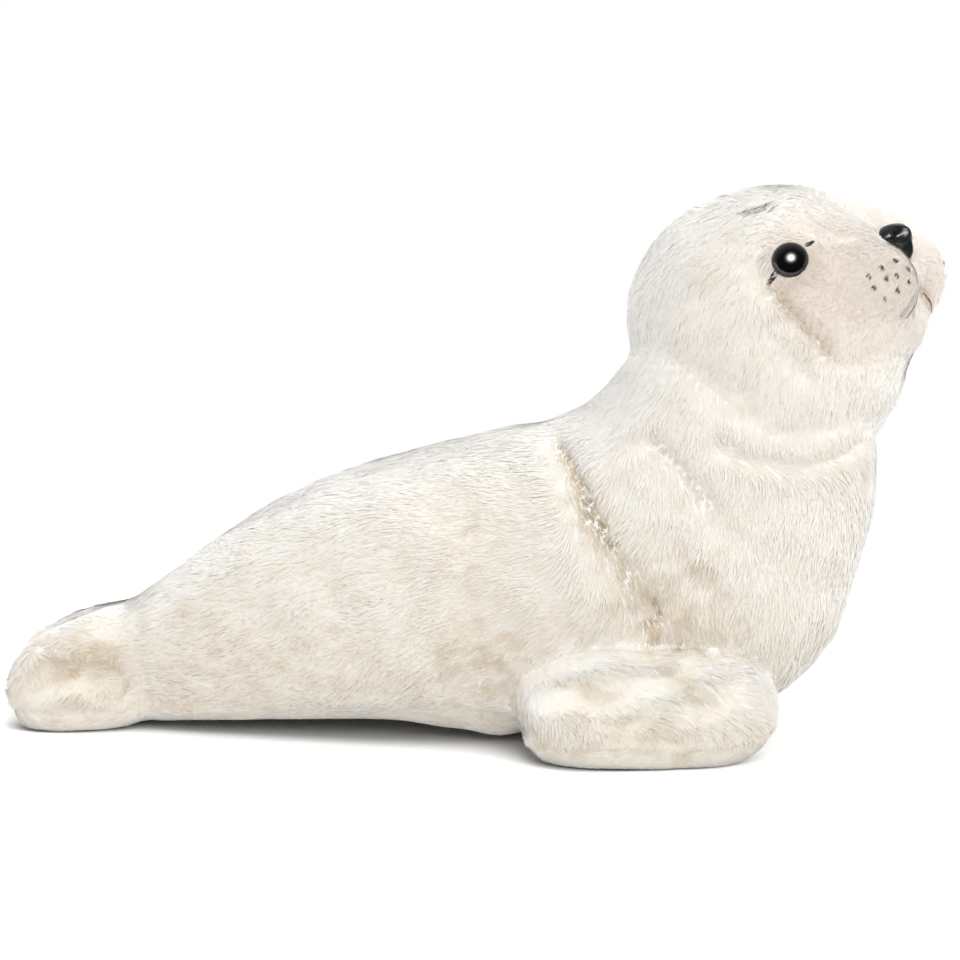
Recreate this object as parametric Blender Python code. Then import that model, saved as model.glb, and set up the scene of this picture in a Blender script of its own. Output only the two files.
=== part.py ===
"""Plush seal pup, lying on its belly with the head raised and turned to its right.

A stuffed fur body carries a stuffed head, a short-pile face panel, a short-pile belly panel, two
front flippers, two hind flippers, two domed plastic eyes and a moulded plastic nose. The eyes and
the nose are held by barbed shanks and lock washers behind the cloth, and the mouth is a stitched
thread. +X runs from tail to head, +Y to the seal's left and +Z up. The seal lies on Z = 0.
"""

import math

import bmesh
import bpy
import numpy as np
from mathutils import Matrix, Vector

MM = 0.001  # sizes are written in millimetres and the scene is in metres

# Clearance between two pieces that are sewn or fitted together
SEAM_GAP = 0.3

# Body stations from tail to neck: back point (x, z), belly point (x, z) and half width
BODY_STATIONS = (
    (-153.0, 31.0, -151.0, 12.0, 8.0),
    (-134.0, 46.0, -132.0, 2.0, 24.5),
    (-111.0, 61.5, -108.0, 1.5, 35.0),
    (-80.0, 83.5, -76.0, 2.5, 44.0),
    (-45.0, 97.5, -42.0, 3.5, 51.0),
    (-8.0, 107.5, -4.0, 3.0, 56.0),
    (20.0, 113.5, 34.0, 1.5, 59.0),
    (37.0, 120.0, 72.0, 2.0, 60.0),
    (46.0, 127.5, 106.0, 7.0, 60.0),
    (53.0, 136.0, 134.0, 32.0, 58.0),
    (60.0, 146.0, 147.0, 73.0, 52.0),
    (68.0, 154.0, 151.5, 106.0, 45.0),
    (80.0, 158.0, 149.0, 128.0, 35.0),
    (100.0, 156.0, 138.0, 146.0, 16.0),
)
BACK_ROUNDNESS = 2.25  # power of each rib's superellipse above its middle, where 2 is an ellipse
BELLY_ROUNDNESS = 4.0  # the same below its middle, where the belly is flatter
BODY_RINGS = 38
BODY_SEGMENTS = 36

# Folds pressed into the fur of the body: points (x, z) on the side, half width and depth
BODY_FOLDS = (
    (((26.0, 108.0), (36.0, 92.0), (42.0, 74.0), (54.0, 58.0), (66.0, 48.0)), 5.0, 3.2),
    (((62.0, 108.0), (72.0, 98.0), (84.0, 86.0), (94.0, 80.0)), 4.5, 2.2),
)

# Belly panel of short-pile cloth
BELLY_PANEL_LENGTH = 178.0
BELLY_PANEL_WIDTH = 66.0
BELLY_PANEL_CENTRE_X = -38.0
PANEL_THICKNESS = 3.0
PANEL_SINK = 0.6  # how far the short pile lies below the long pile
PANEL_CORNERS = 28
PANEL_REACH = 16.0  # height up to which the cutters of the panel cut the belly
PANEL_DROP = 5.0  # how far they start below the belly's lowest point

# Head: centre of the skull, turn to the right and raise of the muzzle, in degrees
HEAD_CENTRE = (107.0, 0.0, 156.0)
HEAD_TURN = 33.0
HEAD_RAISE = 20.0
HEAD_RINGS = 28
HEAD_SEGMENTS = 32
FRONT_CROWDING = 0.62  # below 1, the head's rings crowd towards the muzzle

# Soft masses of the head: centre and radii in the head's own frame, and how softly each joins
SKULL = ((-4.0, 0.0, 0.0), (49.5, 48.0, 49.0), 0.0)
BROW = ((13.0, 0.0, 12.0), (32.5, 34.0, 30.5), 6.0)
JOWL = ((-4.0, 14.0, -29.0), (41.0, 34.0, 37.0), 14.0)
THROAT = ((21.0, 0.0, -33.0), (26.5, 25.0, 24.0), 12.0)
MUZZLE = ((35.5, 0.0, -3.0), (30.5, 31.0, 26.0), 18.0)
WHISKER_PAD = ((55.0, 12.0, -6.0), (17.0, 15.5, 15.5), 5.0)
CHIN = ((46.0, 0.0, -23.0), (18.0, 17.0, 11.0), 7.0)

# Face panel of short-pile cloth: its outline on the side of the head, forward and up
FACE_OUTLINE = (
    (112.0, 60.0),
    (112.0, -36.0),
    (56.0, -33.0),
    (42.0, -30.5),
    (35.5, -24.0),
    (33.0, -10.0),
    (28.0, 2.0),
    (26.0, 10.0),
    (27.0, 19.0),
    (32.0, 31.0),
    (38.0, 42.0),
    (40.0, 60.0),
)

# Domed eye with a barbed shank
EYE_DIAMETER = 14.0
EYE_DOME_HEIGHT = 6.2
EYE_RIM_THICKNESS = 1.0
EYE_SINK = 1.6
EYE_FORWARD = 35.5
EYE_SIDE = 32.5
EYE_UP = 13.3
EYE_SEGMENTS = 20

# How far the hole for an eye or the nose is cut outwards, through the pile
SEAT_REACH = 20.0

# Half width of the cutters that cut the face panel's outline through the head
FACE_REACH = 70.0

# Barbed shank and lock washer, the same for the eyes and the nose
SHANK_DIAMETER = 4.0
SHANK_LENGTH = 13.0
BARB_HEIGHT = 0.35
BARB_COUNT = 2
WASHER_DIAMETER = 12.0
WASHER_THICKNESS = 1.6
WASHER_HUB_DIAMETER = 7.5
WASHER_HUB_HEIGHT = 1.4
WASHER_SEGMENTS = 18

# Moulded nose
NOSE_OUTLINE = (  # right half, side and up, from the top to the foot
    (0.0, 6.2),
    (4.6, 6.0),
    (8.2, 3.9),
    (10.0, 0.9),
    (8.2, -2.2),
    (5.0, -3.9),
    (2.6, -6.0),
    (1.3, -8.6),
    (0.0, -9.2),
)
NOSE_DEPTH = 4.6
NOSE_BASE_THICKNESS = 2.0
NOSE_FORWARD = 69.0
NOSE_UP = 10.5
NOSE_RAISE = 14.0  # degrees that the nose faces above the head's forward axis
NOSE_SINK = 1.1
NOSTRIL_SIDE = 4.6
NOSTRIL_UP = 0.3
NOSTRIL_RADIUS = 1.9
NOSTRIL_DEPTH = 2.6
WING_RADIUS = 3.6
WING_HEIGHT = 0.9
SEPTUM_WIDTH = 1.5
SEPTUM_HEIGHT = 0.7
NOSE_RINGS = 11
NOSE_SEGMENTS = 32

# Stitched mouth
THREAD_DIAMETER = 1.0
MOUTH_SPREAD = 10.0  # degrees to each side of the midline
MOUTH_MIDDLE_DROP = 9.0  # degrees below the forward axis, at the midline
MOUTH_CORNER_DROP = 17.5
THREAD_SIDES = 8
THREAD_POINTS = 17

# Front flippers
FLIPPER_LENGTH = 94.0
FLIPPER_WIDTH = 58.0
FLIPPER_THICKNESS = 34.0
FLIPPER_CENTRE_X = 61.0
FLIPPER_CENTRE_Z = 17.5
FLIPPER_OUTSET = 5.0  # from the body's side to the flipper's middle
FLIPPER_ROLL = 33.0
FLIPPER_ROUNDNESS = 2.5
FLIPPER_DENTS = (
    (((-34.0, -4.0), (-16.0, -6.0), (0.0, -1.0)), 7.0, 2.6),
    (((10.0, 8.0), (22.0, 3.0), (30.0, -6.0)), 4.5, 2.2),
    (((6.0, -22.0), (12.0, -14.0)), 4.5, 2.0),
)

# Hind flippers
HIND_LENGTH = 76.0
HIND_HEIGHT = 46.0
HIND_THICKNESS = 27.0
HIND_CENTRE_X = -143.5
HIND_CENTRE_Z = 20.5
HIND_SIDE = 14.5
HIND_ROLL = 20.0
HIND_SPLAY = 12.0
HIND_TILT = 17.0
HIND_ROUNDNESS = 2.3
HIND_DENTS = ((((-26.0, 2.0), (-10.0, 1.0), (4.0, -8.0), (12.0, -14.0)), 4.5, 2.8),)
FLIPPER_RINGS = 18
FLIPPER_SEGMENTS = 24


def clear_scene():
    for obj in list(bpy.data.objects):
        bpy.data.objects.remove(obj)


def make_material(name, colour, roughness, metallic=0.0):
    material = bpy.data.materials.new(name)
    material.use_nodes = True
    shader = material.node_tree.nodes["Principled BSDF"]
    shader.inputs["Base Color"].default_value = (*colour, 1.0)
    shader.inputs["Roughness"].default_value = roughness
    shader.inputs["Metallic"].default_value = metallic
    return material


def make_object(name, points, faces, material=None, parent=None, sharp_angle=40.0):
    """A mesh object from points in millimetres, in the frame of its parent.

    Its faces are split into triangles, because a curved skin's four-sided ones aren't flat."""
    mesh = bpy.data.meshes.new(name)
    mesh.from_pydata([Vector(p) * MM for p in points], [], faces)
    outward = bmesh.new()
    outward.from_mesh(mesh)
    bmesh.ops.recalc_face_normals(outward, faces=outward.faces)
    bmesh.ops.triangulate(outward, faces=outward.faces)
    outward.to_mesh(mesh)
    outward.free()
    mesh.shade_smooth()
    mesh.set_sharp_from_angle(angle=math.radians(sharp_angle))
    if material:
        mesh.materials.append(material)
    obj = bpy.data.objects.new(name, mesh)
    bpy.context.scene.collection.objects.link(obj)
    obj.parent = parent
    return obj


def make_cutter(name, points, faces, parent=None):
    cutter = make_object(name, points, faces, parent=parent)
    cutter.hide_render = True
    cutter.display_type = "WIRE"
    return cutter


def make_empty(name, location, rotation=None, parent=None):
    empty = bpy.data.objects.new(name, None)
    bpy.context.scene.collection.objects.link(empty)
    matrix = rotation.to_4x4() if rotation else Matrix.Identity(4)
    matrix.translation = Vector(location) * MM
    empty.parent = parent
    empty.matrix_local = matrix
    return empty


def combine(obj, other, operation):
    modifier = obj.modifiers.new(f"{operation.lower()} {other.name}", "BOOLEAN")
    modifier.operation = operation
    modifier.solver = "EXACT"
    modifier.object = other


def closed_surface(rings, first_pole, last_pole):
    """Points and faces of a closed skin over equal rings of points, with a pole at each end."""
    count = len(rings[0])
    points = [first_pole, *(p for ring in rings for p in ring), last_pole]
    faces = []
    for j in range(count):
        after = (j + 1) % count
        faces.append((0, 1 + after, 1 + j))
        for i in range(len(rings) - 1):
            near, far = 1 + i * count, 1 + (i + 1) * count
            faces.append((near + j, near + after, far + after, far + j))
        end = 1 + (len(rings) - 1) * count
        faces.append((end + j, end + after, len(points) - 1))
    return np.array(points, float), faces


def smooth_rows(rows, count):
    """Rows of numbers resampled to count rows on a smooth curve through all of them."""
    rows = np.array(rows, float)
    ends = np.vstack([2 * rows[0] - rows[1], rows, 2 * rows[-1] - rows[-2]])
    spots = np.linspace(0, len(rows) - 1, count)
    piece = np.minimum(spots.astype(int), len(rows) - 2)
    t = (spots - piece)[:, None]
    a, b, c, d = (ends[piece + k] for k in range(4))
    return 0.5 * (
        2 * b
        + (c - a) * t
        + (2 * a - 5 * b + 4 * c - d) * t**2
        + (3 * b - a - 3 * c + d) * t**3
    )


def superellipse(count, power, lower_power=None):
    """Unit points (cosine side, sine side) round a superellipse, which may be squarer below."""
    angles = np.arange(count) * 2 * math.pi / count
    cosine, sine = np.cos(angles), np.sin(angles)
    power = np.where(cosine < 0, lower_power or power, power)
    length = (np.abs(cosine) ** power + np.abs(sine) ** power) ** (1 / power)
    return np.stack([cosine / length, sine / length], axis=1)


def distance_to_path(points, path):
    """Distance from each 2-D point to a smooth path through a few points."""
    path = smooth_rows(path, 24)
    away = np.linalg.norm(points[:, None, :] - path[None], axis=2)
    return away.min(axis=1)


def pressed(points, outward, flat_points, folds):
    """Points moved inwards along folds, which are drawn on a flat view of the surface."""
    moved = points.copy()
    for path, half_width, depth in folds:
        away = distance_to_path(flat_points, path)
        moved -= outward * (depth * np.exp(-((away / half_width) ** 2)))[:, None]
    return moved


def body_surface(offset=0.0):
    """The stuffed body as a skin over its ribs, grown outwards by offset."""
    section = superellipse(BODY_SEGMENTS, BACK_ROUNDNESS, BELLY_ROUNDNESS)
    rings = []
    for back_x, back_z, belly_x, belly_z, half_width in smooth_rows(BODY_STATIONS, BODY_RINGS):
        back = np.array([back_x, 0.0, back_z])
        belly = np.array([belly_x, 0.0, belly_z])
        centre, half_height = (back + belly) / 2, np.linalg.norm(back - belly) / 2
        up = (back - belly) / (2 * half_height)
        rings.append([
            centre
            + up * (half_height * high)
            + np.array([0.0, half_width * wide, 0.0])
            for high, wide in section
        ])
    rings = np.array(rings)
    poles = [rings[0].mean(axis=0), rings[-1].mean(axis=0)]
    points, faces = closed_surface(rings, *poles)
    outwards = outward_normals(points, faces)
    side_view = points[:, [0, 2]]
    points = pressed(points, outwards, side_view, BODY_FOLDS)
    return points + outwards * offset, faces


def outward_normals(points, faces):
    """Unit normals at the points of a closed mesh, pointing out of it."""
    mesh = bpy.data.meshes.new("normals")
    mesh.from_pydata([Vector(p) for p in points], [], faces)
    outward = bmesh.new()
    outward.from_mesh(mesh)
    bmesh.ops.recalc_face_normals(outward, faces=outward.faces)
    outward.normal_update()
    normals = np.array([vertex.normal for vertex in outward.verts])
    outward.free()
    bpy.data.meshes.remove(mesh)
    return normals


def ball_distance(points, centre, radii):
    """Roughly how far points lie outside an ellipsoid."""
    radii = np.array(radii)
    scaled = (points - np.array(centre)) / radii
    length = np.linalg.norm(scaled, axis=-1)
    steepness = np.linalg.norm(scaled / radii, axis=-1)
    return length * (length - 1) / np.maximum(steepness, 1e-9)


def soft_join(first, second, softness):
    blend = np.maximum(softness - np.abs(first - second), 0) / softness
    return np.minimum(first, second) - blend * blend * softness / 4


def head_distance(points):
    """Roughly how far points of the head's frame lie outside the stuffed head."""
    distance = ball_distance(points, *SKULL[:2])
    for centre, radii, softness in (BROW, JOWL, THROAT, MUZZLE, WHISKER_PAD, CHIN):
        left = ball_distance(points, centre, radii)
        mirrored = (centre[0], -centre[1], centre[2])
        pair = np.minimum(left, ball_distance(points, mirrored, radii))
        distance = soft_join(distance, pair, softness)
    return distance


def cast_on_head(directions, offset=0.0):
    """Where rays from the head's centre leave the head's surface, grown by offset."""
    directions = np.array(directions, float)
    directions /= np.linalg.norm(directions, axis=-1, keepdims=True)
    steps = np.arange(140.0, 20.0, -1.5)
    outside = np.array([head_distance(directions * s) > offset for s in steps])
    first_inside = np.argmin(outside, axis=0)
    far = steps[np.maximum(first_inside - 1, 0)]
    near = steps[first_inside]
    for _ in range(24):
        middle = (near + far) / 2
        inside = head_distance(directions * middle[:, None]) < offset
        near, far = np.where(inside, middle, near), np.where(inside, far, middle)
    return directions * near[:, None]


def head_surface(offset=0.0):
    """The stuffed head as rings round its forward axis, crowded towards the muzzle."""
    share = np.arange(1, HEAD_RINGS + 1) / (HEAD_RINGS + 1)
    swing = math.pi * share ** (1 / FRONT_CROWDING)
    turn = np.arange(HEAD_SEGMENTS) * 2 * math.pi / HEAD_SEGMENTS
    rings = [
        cast_on_head(
            np.stack([
                np.full(HEAD_SEGMENTS, math.cos(s)),
                math.sin(s) * np.sin(turn),
                math.sin(s) * np.cos(turn),
            ], axis=1),
            offset,
        )
        for s in swing
    ]
    poles = cast_on_head([(1.0, 0.0, 0.0), (-1.0, 0.0, 0.0)], offset)
    return closed_surface(rings, *poles)


def prism(outline, low, high, axis):
    """A straight prism over a flat outline, along X, Y or Z. The outline is in the other two axes."""
    count = len(outline)
    points = [
        {"X": (level, a, b), "Y": (a, level, b), "Z": (a, b, level)}[axis]
        for level in (low, high)
        for a, b in outline
    ]
    sides = [(i, (i + 1) % count, count + (i + 1) % count, count + i) for i in range(count)]
    return points, [tuple(range(count)), tuple(range(count, 2 * count)), *sides]


def grown_outline(outline, growth):
    """A closed outline with each corner moved outwards, so that its sides move by growth."""
    points = np.array(outline, float)
    before, after = np.roll(points, 1, axis=0), np.roll(points, -1, axis=0)
    turning = np.sum(points[:, 0] * after[:, 1] - after[:, 0] * points[:, 1])

    def outward(start, end):
        along = (end - start) / np.linalg.norm(end - start, axis=1, keepdims=True)
        return np.stack([along[:, 1], -along[:, 0]], axis=1) * math.copysign(1, turning)

    first, second = outward(before, points), outward(points, after)
    middle = first + second
    return points + middle * (2 * growth / np.sum(middle**2, axis=1, keepdims=True))


def revolved(profile, segments):
    """A closed solid turned about X from a profile of (x, radius), whose two ends are on the axis."""
    turn = np.arange(segments) * 2 * math.pi / segments
    rings = [
        np.stack([np.full(segments, x), radius * np.sin(turn), radius * np.cos(turn)], axis=1)
        for x, radius in profile[1:-1]
    ]
    poles = [(profile[0][0], 0.0, 0.0), (profile[-1][0], 0.0, 0.0)]
    return closed_surface(rings, *poles)


def turned_ring(profile, segments):
    """A closed ring turned about X from a closed profile of (x, radius)."""
    count = len(profile)
    turn = np.arange(segments) * 2 * math.pi / segments
    points = [
        (x, radius * math.sin(angle), radius * math.cos(angle))
        for angle in turn
        for x, radius in profile
    ]
    faces = []
    for i in range(segments):
        this, after = i * count, (i + 1) % segments * count
        for k in range(count):
            near, far = k, (k + 1) % count
            faces.append((this + near, this + far, after + far, after + near))
    return np.array(points), faces


def shank_profile(start):
    """Profile of the barbed shank, from its root at x = start to its pointed end."""
    radius = SHANK_DIAMETER / 2
    pitch = SHANK_LENGTH * 0.6 / BARB_COUNT
    profile = [(start, radius)]
    for barb in range(BARB_COUNT):
        x = start - SHANK_LENGTH * 0.25 - barb * pitch
        profile += [(x, radius), (x - 0.1, radius + BARB_HEIGHT), (x - pitch * 0.8, radius)]
    profile += [(start - SHANK_LENGTH + 1.0, radius), (start - SHANK_LENGTH, radius * 0.55)]
    return [*profile, (start - SHANK_LENGTH, 0.0)]


def eye_surface():
    """A domed eye: x = 0 is the back of its rim, the dome is at +x and the shank at -x."""
    radius = EYE_DIAMETER / 2
    bulge = EYE_DOME_HEIGHT - EYE_RIM_THICKNESS
    dome = [
        (EYE_RIM_THICKNESS + bulge * math.cos(angle), radius * math.sin(angle))
        for angle in np.linspace(0, math.pi / 2, 8)
    ]
    return revolved([*dome, (0.0, radius), *shank_profile(0.0)], EYE_SEGMENTS)


def washer_surface():
    """A lock washer with a hub: x = 0 is the face that presses on the cloth."""
    bore = SHANK_DIAMETER / 2 + BARB_HEIGHT + SEAM_GAP
    rim, hub = WASHER_DIAMETER / 2, WASHER_HUB_DIAMETER / 2
    back = -WASHER_THICKNESS
    profile = [
        (0.0, bore),
        (0.0, rim),
        (back, rim),
        (back, hub),
        (back - WASHER_HUB_HEIGHT, hub - 0.5),
        (back - WASHER_HUB_HEIGHT, bore),
    ]
    return turned_ring(profile, WASHER_SEGMENTS)


def nose_outline():
    """Points (side, up) round the nose as seen from the front: a dome, two wings and a foot."""
    half = smooth_rows(NOSE_OUTLINE, NOSE_SEGMENTS // 2 + 1)
    return np.vstack([half, (half * (-1, 1))[-2:0:-1]])


def nose_front(side, up, share):
    """Height of the nose's front at a point: a dome with a septum between two nostrils."""
    height = NOSE_DEPTH * math.sqrt(max(1 - share**2.4, 0.0))
    inner = 1 - share**4
    for hand in (-1, 1):
        away = math.hypot((side - hand * NOSTRIL_SIDE) / 1.15, up - NOSTRIL_UP)
        height += WING_HEIGHT * inner * math.exp(-(((away - WING_RADIUS) / 1.1) ** 2))
        height -= NOSTRIL_DEPTH * math.exp(-((away / NOSTRIL_RADIUS) ** 4))
    return height + SEPTUM_HEIGHT * inner * math.exp(-((side / SEPTUM_WIDTH) ** 2))


def nose_surface():
    """The moulded nose: x = 0 is the back of its base, the front is at +x and the shank at -x."""
    outline = nose_outline()
    rings = [
        [
            (
                NOSE_BASE_THICKNESS + nose_front(side * share, up * share, share),
                side * share,
                up * share,
            )
            for side, up in outline
        ]
        for share in np.linspace(0.1, 1.0, NOSE_RINGS)
    ]
    rings.append([(0.0, side, up) for side, up in outline])
    around = outline / np.linalg.norm(outline, axis=1, keepdims=True)
    for x, radius in shank_profile(0.0)[:-1]:
        rings.append([(x, radius * side, radius * up) for side, up in around])
    front = (NOSE_BASE_THICKNESS + nose_front(0.0, 0.0, 0.0), 0.0, 0.0)
    return closed_surface(rings, front, (-SHANK_LENGTH, 0.0, 0.0))


def shank_room():
    """Cutter for a shank and its lock washer, with clearance, behind a seat at x = 0."""
    bore = SHANK_DIAMETER / 2 + BARB_HEIGHT + SEAM_GAP
    wide = WASHER_DIAMETER / 2 + SEAM_GAP
    front = SEAM_GAP - washer_depth()
    back = front - WASHER_THICKNESS - WASHER_HUB_HEIGHT - 2 * SEAM_GAP
    end = -SHANK_LENGTH - SEAM_GAP
    profile = [(2.0, 0.0), (2.0, bore), (front, bore), (front, wide), (back, wide), (back, bore)]
    return revolved([*profile, (end, bore), (end, 0.0)], EYE_SEGMENTS)


def washer_depth():
    """How far behind the seat the washer's face lies: just behind the face panel's cloth."""
    return PANEL_THICKNESS + SEAM_GAP


def seat_matrix(direction, sink, outward=None):
    """A frame in the head, sunk into the face panel, whose x axis leaves it squarely or as told."""
    spot = cast_on_head([direction], -PANEL_SINK)[0]
    if outward is None:
        step = 0.5
        outward = [
            head_distance(spot + step * axis) - head_distance(spot - step * axis)
            for axis in np.eye(3)
        ]
    outward = Vector(outward).normalized()
    side = Vector((0.0, 0.0, 1.0)).cross(outward).normalized()
    up = outward.cross(side)
    matrix = Matrix((outward, side, up)).transposed().to_4x4()
    matrix.translation = (Vector(spot) - outward * sink) * MM
    return matrix


def tube(points, radius, sides):
    """A round tube with closed ends along a path."""
    points = np.array(points, float)
    along = np.gradient(points, axis=0)
    along /= np.linalg.norm(along, axis=1, keepdims=True)
    up = np.cross(along, np.cross(np.array([0.0, 0.0, 1.0]), along))
    up /= np.linalg.norm(up, axis=1, keepdims=True)
    across = np.cross(along, up)
    turn = np.arange(sides) * 2 * math.pi / sides
    rings = [
        [p + radius * (u * math.cos(a) + c * math.sin(a)) for a in turn]
        for p, u, c in zip(points, up, across)
    ]
    start = points[0] - along[0] * radius * 0.5
    end = points[-1] + along[-1] * radius * 0.5
    return closed_surface(rings, start, end)


def superball(radii, power, rings, segments, taper=0.0):
    """A stuffed pad: a rounded box of the given half sizes, thinner towards +x by taper."""
    section = superellipse(segments, power)
    swing = np.arange(1, rings + 1) * math.pi / (rings + 1)
    loops = []
    for angle in swing:
        cosine, sine = math.cos(angle), math.sin(angle)
        length = (abs(cosine) ** power + abs(sine) ** power) ** (1 / power)
        x, size = cosine / length, sine / length
        thin = 1 - taper * x
        loops.append([
            (x * radii[0], size * radii[1] * across * thin, size * radii[2] * high * thin)
            for high, across in section
        ])
    return closed_surface(loops, (radii[0], 0.0, 0.0), (-radii[0], 0.0, 0.0))


def cut_flat(points, faces, spot, outward):
    """A closed mesh cut by a plane, without what lies on the plane's outward side, filled flat."""
    shape = bmesh.new()
    corners = [shape.verts.new(p) for p in points]
    for face in faces:
        shape.faces.new([corners[i] for i in face])
    cut = bmesh.ops.bisect_plane(
        shape,
        geom=[*shape.verts, *shape.edges, *shape.faces],
        plane_co=spot,
        plane_no=outward,
        clear_outer=True,
    )
    edges = [item for item in cut["geom_cut"] if isinstance(item, bmesh.types.BMEdge)]
    if edges:
        bmesh.ops.contextual_create(shape, geom=edges)
    shape.verts.index_update()
    points = [tuple(vertex.co) for vertex in shape.verts]
    faces = [tuple(vertex.index for vertex in face.verts) for face in shape.faces]
    shape.free()
    return np.array(points), faces


def placed(points, location, rotation):
    return np.array([rotation @ Vector(p) + Vector(location) for p in points])


def front_flipper(name, hand, material, root):
    """A plump flipper lying along the body, on its outer edge. hand is 1 on the left, -1 right."""
    radii = (FLIPPER_LENGTH / 2, FLIPPER_WIDTH / 2, FLIPPER_THICKNESS / 2)
    points, faces = superball(
        radii, FLIPPER_ROUNDNESS, FLIPPER_RINGS, FLIPPER_SEGMENTS, taper=0.06
    )
    outward = outward_normals(points, faces)
    outward[outward[:, 2] < 0] = 0.0
    points = pressed(points, outward, points[:, [0, 1]] * (1, -1), FLIPPER_DENTS)
    points[:, 1] *= hand
    roll = Matrix.Rotation(math.radians(-FLIPPER_ROLL * hand), 3, "X")
    side = max(station[4] for station in BODY_STATIONS) + FLIPPER_OUTSET
    points = placed(points, (FLIPPER_CENTRE_X, hand * side, FLIPPER_CENTRE_Z), roll)
    points, faces = cut_flat(points, faces, (0.0, 0.0, 0.0), (0.0, 0.0, -1.0))
    return make_object(name, points, faces, material, root)


def hind_flipper(name, hand, material, root):
    """A hind flipper beside the tail, leaning out at its foot. hand is 1 on the left, -1 right."""
    radii = (HIND_LENGTH / 2, HIND_THICKNESS / 2, HIND_HEIGHT / 2)
    points, faces = superball(radii, HIND_ROUNDNESS, FLIPPER_RINGS, FLIPPER_SEGMENTS)
    outward = outward_normals(points, faces)
    outward[outward[:, 1] < 0] = 0.0
    points = pressed(points, outward, points[:, [0, 2]], HIND_DENTS)
    points[:, 1] *= hand
    turn = (
        Matrix.Rotation(math.radians(-HIND_SPLAY * hand), 3, "Z")
        @ Matrix.Rotation(math.radians(-HIND_TILT), 3, "Y")
        @ Matrix.Rotation(math.radians(HIND_ROLL * hand), 3, "X")
    )
    points = placed(points, (HIND_CENTRE_X, hand * HIND_SIDE, HIND_CENTRE_Z), turn)
    points, faces = cut_flat(points, faces, (0.0, 0.0, 0.0), (0.0, 0.0, -1.0))
    middle = (0.0, hand * SEAM_GAP / 2, 0.0)
    points, faces = cut_flat(points, faces, middle, (0.0, -hand, 0.0))
    return make_object(name, points, faces, material, root)


def mouth_path(offset):
    """The stitched mouth, from its left corner to its right one, over the face panel's pile."""
    spread = np.radians(np.linspace(-MOUTH_SPREAD, MOUTH_SPREAD, THREAD_POINTS))
    share = np.abs(spread) / math.radians(MOUTH_SPREAD)
    drop = np.radians(MOUTH_MIDDLE_DROP + (MOUTH_CORNER_DROP - MOUTH_MIDDLE_DROP) * share)
    directions = np.stack([
        np.cos(drop) * np.cos(spread),
        np.cos(drop) * np.sin(spread),
        -np.sin(drop),
    ], axis=1)
    return cast_on_head(directions, offset)


def panel_outline():
    """The belly panel's outline in plan: a long oval."""
    oval = superellipse(PANEL_CORNERS, 2.4)
    sizes = np.array([BELLY_PANEL_LENGTH / 2, BELLY_PANEL_WIDTH / 2])
    return oval * sizes + np.array([BELLY_PANEL_CENTRE_X, 0.0])


def centre_on_origin(root, nodes):
    """Moves the whole seal so that its box is centred on X = Y = 0 and rests on Z = 0."""
    bpy.context.view_layer.update()
    graph = bpy.context.evaluated_depsgraph_get()
    points = np.array([
        node.matrix_world @ vertex.co
        for node in nodes
        for vertex in node.evaluated_get(graph).data.vertices
    ])
    low, high = points.min(axis=0), points.max(axis=0)
    root.location -= Vector(((low[0] + high[0]) / 2, (low[1] + high[1]) / 2, low[2]))


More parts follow.
